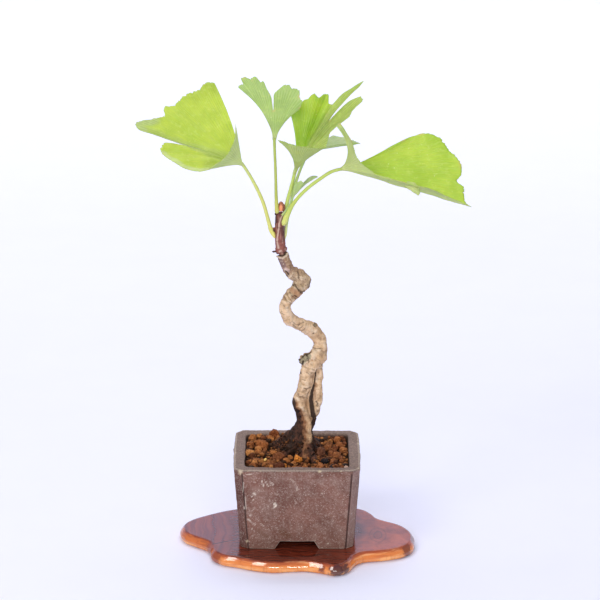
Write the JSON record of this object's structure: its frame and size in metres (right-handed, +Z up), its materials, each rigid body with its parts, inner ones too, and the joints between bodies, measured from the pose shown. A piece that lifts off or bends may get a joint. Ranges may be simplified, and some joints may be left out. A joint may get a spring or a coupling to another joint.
{
  "type": "ginkgo bonsai",
  "caption": "Small ginkgo bonsai with fan leaves on a twisted trunk, in a square clay pot that stands on a free-form slab of lacquered wood.",
  "frame": {"origin": "centre of the pot, projected onto the underside of the stand", "axes": "+Z up; -Y is the front of the pot that the picture sees; +X is to the right in the picture"},
  "size_m": [0.1811, 0.0982, 0.2698],
  "materials": {
    "stand_wood": "red-brown root wood under glossy clear lacquer, with dark growth bands",
    "pot_clay": "unglazed brown-grey clay with whitish mineral specks, greyer on the rim",
    "net_plastic": "black plastic net",
    "soil_granules": "orange-brown porous clay granules over dark humus",
    "old_bark": "pale tan bark with fine wrinkles, near black at the foot",
    "young_bark": "red-brown young bark with pale lengthwise streaks",
    "bud": "orange-red bud scales with dark brown edges",
    "leaf": "living leaf: bright yellow-green upper face, paler grey-green underside, fanned veins",
    "young_leaf": "living leaf in shade: grey-green, satin, fanned veins"
  },
  "bodies": {
    "root": {"stand": "stand_wood", "pot": "pot_clay", "drain_net": "net_plastic", "soil": "soil_granules", "trunk": "old_bark", "shoot": "young_bark", "terminal_bud": "bud", "leaf_left": "leaf", "leaf_upright": "leaf", "leaf_funnel": "leaf", "leaf_right": "leaf", "leaf_back": "young_leaf", "leaf_young": "young_leaf"}
  },
  "joints": []
}
